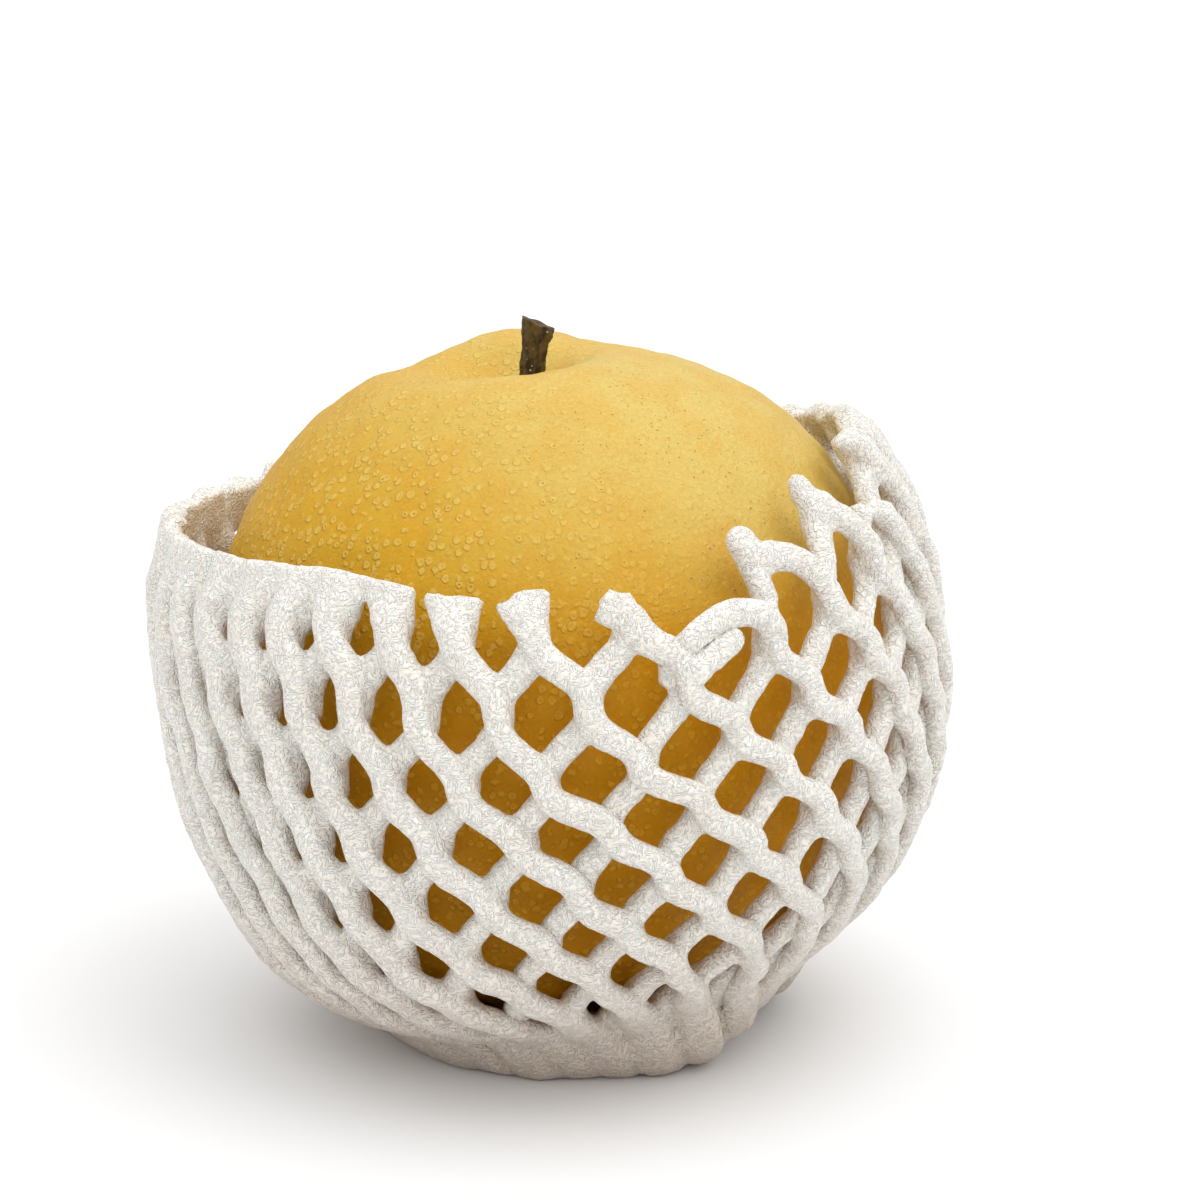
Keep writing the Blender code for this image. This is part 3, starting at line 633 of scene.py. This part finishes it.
class Finish:
    # one material and its nodes
    def __init__(self, name, constants):
        self.material = bpy.data.materials.new(name)
        self.material.use_nodes = True
        self.tree = self.material.node_tree
        self.surface = self.tree.nodes["Principled BSDF"]
        for socket, value in constants.items():
            self.surface.inputs[socket].default_value = value

    def feed(self, socket, value):
        if isinstance(value, Wire):
            self.tree.links.new(value.socket, socket)
        else:
            socket.default_value = value

    def node(self, kind, settings=None, inputs=None, output=0):
        made = self.tree.nodes.new("ShaderNode" + kind)
        for key, value in (settings or {}).items():
            setattr(made, key, value)
        for key, value in (inputs or {}).items():
            self.feed(made.inputs[key], value)
        return Wire(self, made.outputs[output])

    def place(self):
        return self.node("TexCoord", output="Object")

    def axes(self, place):
        # x, y and z of a place, or red, green and blue of a colour
        x = self.node("SeparateXYZ", inputs={0: place})
        return [x] + [Wire(self, x.socket.node.outputs[n]) for n in (1, 2)]

    def noise(self, place, scale, detail, output=0):
        return self.node("TexNoise", None, {"Vector": place, "Scale": scale, "Detail": detail}, output)

    def between(self, value, low, high):
        settings = {"interpolation_type": "SMOOTHSTEP"}
        return self.node("MapRange", settings, {"Value": value, "From Min": low, "From Max": high})

    def blend(self, share, first, second):
        return self.node("Mix", {"data_type": "RGBA"}, {0: share, 6: first, 7: second}, 2)

    def cells(self, place, scale, randomness):
        values = {"Vector": place, "Scale": scale, "Randomness": randomness}
        return self.node("TexVoronoi", {"feature": "F1"}, values)

    def warp(self, place, scale, size):
        # the place, moved by a noise of the given scale and size
        values = {0: self.noise(place, scale, 1.0, 1), 1: (size, size, size), 2: place}
        return self.node("VectorMath", {"operation": "MULTIPLY_ADD"}, values)

    def stretch(self, place, sizes):
        return self.node("VectorMath", {"operation": "MULTIPLY"}, {0: place, 1: sizes})

    def bump(self, height, distance, strength=1.0):
        return self.node("Bump", None, {"Height": height, "Distance": distance, "Strength": strength})

    def finishWith(self, links):
        for socket, value in links.items():
            self.feed(self.surface.inputs[socket], value)
        return self.material


def tone(red, green, blue):
    # a colour given as 0 to 255 display values, made linear
    c = np.array([red, green, blue]) / 255
    linear = np.where(c <= 0.04045, c / 12.92, ((c + 0.055) / 1.055) ** 2.4)
    return (*[float(x) for x in linear], 1.0)


skinLook = dict(
    pale=(0.620, 0.485, 0.138, 1.0), gold=(0.58, 0.335, 0.013, 1.0), amber=(0.63, 0.275, 0.001, 1.0),
    deep=(0.58, 0.245, 0.0, 1.0), dot=(0.77, 0.58, 0.16, 1.0), dotLow=(0.86, 0.50, 0.045, 1.0),
    speck=tone(150, 100, 40), dotCell=0.00142, fineCell=0.0010, wobble=0.00055, wobbleScale=1100.0,
    cloudScale=45.0, mottleScale=160.0, patchScale=60.0, grainScale=2600.0, rustScale=1700.0,
    mottling=0.22, dots=0.42, fineDots=0.5, pins=0.7, eyes=0.35, grain=0.30, rust=0.13,
    roughness=0.42, reliefDepth=0.00018, reliefStrength=0.8,
)


def skinFinish():
    look = skinLook
    f = Finish("nashiSkin", {"IOR": 1.40, "Specular IOR Level": 0.26})
    place = f.place()
    x, y, z = f.axes(place)
    cloud = f.noise(place, look["cloudScale"], 3.0)
    mottle = f.noise(place, look["mottleScale"], 3.0)
    # the fruit's own tones, partly painted light and shade: pale to the upper right where the light falls,
    # then gold, amber and deep further down and to the left, where shade falls; the limits are in metres
    lit = f.between(z + x * 0.40 - y * 0.10 + cloud * 0.014, 0.069, 0.108)
    low = f.between(z - x * 0.12 + cloud * 0.012, 0.080, 0.056)
    lowest = f.between(z + cloud * 0.012, 0.045, 0.018)
    colour = f.blend(lit, look["gold"], look["pale"])
    colour = f.blend(low, colour, look["amber"])
    colour = f.blend(lowest, colour, look["deep"])
    colour = f.blend(f.between(mottle, 0.42, 0.62) * look["mottling"], colour, look["amber"])
    # pale dots, larger to the left and lower, and fine ones with dark pin-points to the upper right
    wobble = f.warp(place, look["wobbleScale"], look["wobble"])
    coarse = f.cells(wobble, 1 / look["dotCell"], 0.85)
    chance = f.axes(Wire(f, coarse.socket.node.outputs["Color"]))[0]
    fine = f.cells(wobble, 1 / look["fineCell"], 1.0)
    patch = f.noise(place, look["patchScale"], 2.0)
    finePart = f.between(x + z * 0.6 + patch * 0.04, 0.050, 0.085)
    size = coarse + chance * 0.10
    dots = f.between(size, 0.49, 0.34) * (0.55 + f.between(size, 0.10, 0.24) * 0.45) * (1 - finePart * 0.7)
    small = f.between(fine, 0.34, 0.15) * (0.25 + finePart * 0.45)
    pin = f.between(fine, 0.15, 0.08) * finePart * f.between(patch, 0.46, 0.54)
    eye = f.between(coarse, 0.13, 0.05) * f.between(chance, 0.55, 0.6) * (1 - low)
    dotTone = f.blend(low, look["dot"], look["dotLow"])
    colour = f.blend(dots * look["dots"], colour, dotTone)
    colour = f.blend(small * look["fineDots"], colour, dotTone)
    colour = f.blend(pin * look["pins"] + eye * look["eyes"], colour, look["speck"])
    grain = f.noise(place, look["grainScale"], 2.0)
    colour = f.blend(f.between(grain, 0.38, 0.66) * look["grain"], colour, look["amber"])
    rust = f.noise(place, look["rustScale"], 3.0)
    colour = f.blend(f.between(rust, 0.50, 0.66) * look["rust"], colour, look["speck"])
    rough = look["roughness"] + mottle * 0.12 + dots * 0.10
    relief = dots + small * 0.4 + grain * 0.6 - pin * 0.8 - eye * 0.5
    normal = f.bump(relief, look["reliefDepth"], look["reliefStrength"])
    return f.finishWith({"Base Color": colour, "Roughness": rough, "Normal": normal})


foamLook = dict(
    creaseShade=tone(233, 227, 216), light=tone(244, 241, 233), fleck=tone(255, 255, 252),
    cream=tone(226, 214, 200), low=tone(224, 206, 190), foot=tone(176, 152, 132),
    warp=0.0009, warpScale=900.0, upright=(1.0, 1.0, 0.34), uprightScale=3300.0,
    lying=(0.42, 0.42, 1.25), lyingScale=3100.0, patchScale=700.0, cellScale=2000.0, softScale=150.0,
    creaming=0.18, lowShadeShare=0.45, footShadeShare=0.5, roughness=0.46, reliefDepth=0.00025,
)


def foamFinish():
    look = foamLook
    f = Finish("foamStrand", {"IOR": 1.45, "Subsurface Weight": 0.10, "Subsurface Scale": 0.0012})
    place = f.place()
    z = f.axes(place)[2]
    # short fibres, in some patches upright and in others lying; the foam's own fibres, painted near white as
    # glints
    warp = f.warp(place, look["warpScale"], look["warp"])
    patch = f.between(f.noise(place, look["patchScale"], 1.0), 0.46, 0.54)
    standing = f.noise(f.stretch(warp, look["upright"]), look["uprightScale"], 1.0)
    lying = f.noise(f.stretch(warp, look["lying"]), look["lyingScale"], 1.0)
    flecks = f.between(standing + (lying - standing) * patch, 0.44, 0.70)
    cells = f.noise(place, look["cellScale"], 2.0)
    soft = f.noise(place, look["softScale"], 2.0)
    # painted shade in the creases: the low places of the bumped cells are darker, the raised ones lighter
    colour = f.blend(f.between(cells, 0.36, 0.60), look["creaseShade"], look["light"])
    # painted highlight: the fibre flecks are painted near white as glints
    colour = f.blend(flecks, colour, look["fleck"])
    colour = f.blend(f.between(soft, 0.42, 0.68) * look["creaming"], colour, look["cream"])
    # painted warm shade and bounce light from the fruit, stronger towards the bottom
    colour = f.blend(f.between(z + soft * 0.010, 0.040, 0.008) * look["lowShadeShare"], colour, look["low"])
    # painted shade at the very bottom of the net, near the floor
    colour = f.blend(f.between(z, 0.016, 0.001) * look["footShadeShare"], colour, look["foot"])
    rough = look["roughness"] - flecks * 0.20
    normal = f.bump(flecks + cells * 0.3, look["reliefDepth"])
    return f.finishWith({"Base Color": colour, "Roughness": rough, "Normal": normal})


stalkLook = dict(
    dark=tone(34, 24, 6), brown=tone(92, 72, 26), fleck=tone(196, 178, 130),
    barkScale=900.0, stretch=(1.0, 1.0, 0.45), fleckScale=1150.0, fewScale=700.0, flecks=0.9,
    roughness=0.55, reliefDepth=0.00030, reliefStrength=0.9,
)


def stalkFinish():
    look = stalkLook
    f = Finish("stalkBark", {"IOR": 1.45})
    place = f.place()
    bark = f.noise(f.stretch(place, look["stretch"]), look["barkScale"], 4.0)
    flecks = f.cells(place, look["fleckScale"], 1.0)
    few = f.noise(place, look["fewScale"], 1.0)
    fleck = f.between(flecks, 0.22, 0.10) * f.between(few, 0.47, 0.54)
    colour = f.blend(f.between(bark, 0.36, 0.64), look["dark"], look["brown"])
    colour = f.blend(fleck * look["flecks"], colour, look["fleck"])
    rough = look["roughness"] + bark * 0.3
    normal = f.bump(bark + fleck * 0.4, look["reliefDepth"], look["reliefStrength"])
    return f.finishWith({"Base Color": colour, "Roughness": rough, "Normal": normal})


dress(makeFruit(), skinFinish(), "fruit")
print("fruit made")
dress(makeStalk(), stalkFinish(), "stalk")
print("stalk made")
foam = foamFinish()
for piece in makeNet():
    dress(piece, foam, "foam_net")
print("net made")

# floor, light and camera

studio = dict(
    floorTone=(0.86, 0.86, 0.86, 1.0), floorSize=60.0,
    horizon=0.36, zenith=1.56, zenithFrom=0.9, target=(0, 0, 0.05),
    key=dict(place=(0.30, -0.15, 0.75), size=0.6, power=1.4),
    fill=dict(place=(0.35, -0.75, 0.45), size=0.5, power=0.25),
    elevation=14.67, distance=0.450, lens=101.25, shiftRight=0.0372, shiftUp=0.0553,
)


def makeFloor():
    half = studio["floorSize"] / 2
    mesh = bpy.data.meshes.new("floor")
    corners = np.array([[-half, -half, 0], [half, -half, 0], [half, half, 0], [-half, half, 0]])
    mesh.from_pydata(corners.tolist(), [], [(0, 1, 2, 3)])
    made = bpy.data.objects.new("floor", mesh)
    bpy.context.scene.collection.objects.link(made)
    f = Finish("paleFloor", {"Base Color": studio["floorTone"], "Roughness": 0.9})
    mesh.materials.append(f.material)


def makeLight(name, place, size, power):
    # a disk of light whose own +Z points away from the target
    lamp = bpy.data.lights.new(name, "AREA")
    lamp.shape = "DISK"
    lamp.size = size
    lamp.energy = power
    made = bpy.data.objects.new(name, lamp)
    bpy.context.scene.collection.objects.link(made)
    made.location = place
    away = np.array(place) - np.array(studio["target"])
    away = away / np.linalg.norm(away)
    yaw = math.atan2(away[1], away[0])
    made.rotation_euler = (0.0, math.acos(away[2]), yaw)


def makeCamera():
    e = math.radians(studio["elevation"])
    lookWay = np.array([0.0, math.cos(e), -math.sin(e)])
    place = fruitCentre - lookWay * studio["distance"]
    data = bpy.data.cameras.new("camera")
    data.lens = studio["lens"]
    data.sensor_width = 36.0
    data.sensor_fit = "HORIZONTAL"
    data.shift_x, data.shift_y = studio["shiftRight"], studio["shiftUp"]
    data.clip_start = 0.01
    made = bpy.data.objects.new("camera", data)
    bpy.context.scene.collection.objects.link(made)
    made.location = place
    made.rotation_euler = (math.radians(90) - e, 0.0, 0.0)
    bpy.context.scene.camera = made


def makeSky():
    # an even sky, brighter overhead than at the horizon
    world = bpy.data.worlds.new("studio")
    world.use_nodes = True
    tree = world.node_tree
    way = tree.nodes.new("ShaderNodeTexCoord")
    split = tree.nodes.new("ShaderNodeSeparateXYZ")
    ramp = tree.nodes.new("ShaderNodeMapRange")
    ramp.inputs["From Min"].default_value = 0.0
    ramp.inputs["From Max"].default_value = studio["zenithFrom"]
    ramp.inputs["To Min"].default_value = studio["horizon"]
    ramp.inputs["To Max"].default_value = studio["zenith"]
    tree.links.new(way.outputs["Generated"], split.inputs[0])
    tree.links.new(split.outputs[2], ramp.inputs["Value"])
    tree.links.new(ramp.outputs[0], tree.nodes["Background"].inputs["Strength"])
    tree.nodes["Background"].inputs["Color"].default_value = (1.0, 1.0, 1.0, 1.0)
    bpy.context.scene.world = world


makeFloor()
makeSky()
makeLight("softTop", **studio["key"])
makeLight("softFront", **studio["fill"])
makeCamera()
bpy.context.scene.view_settings.view_transform = "Standard"
print("studio made")
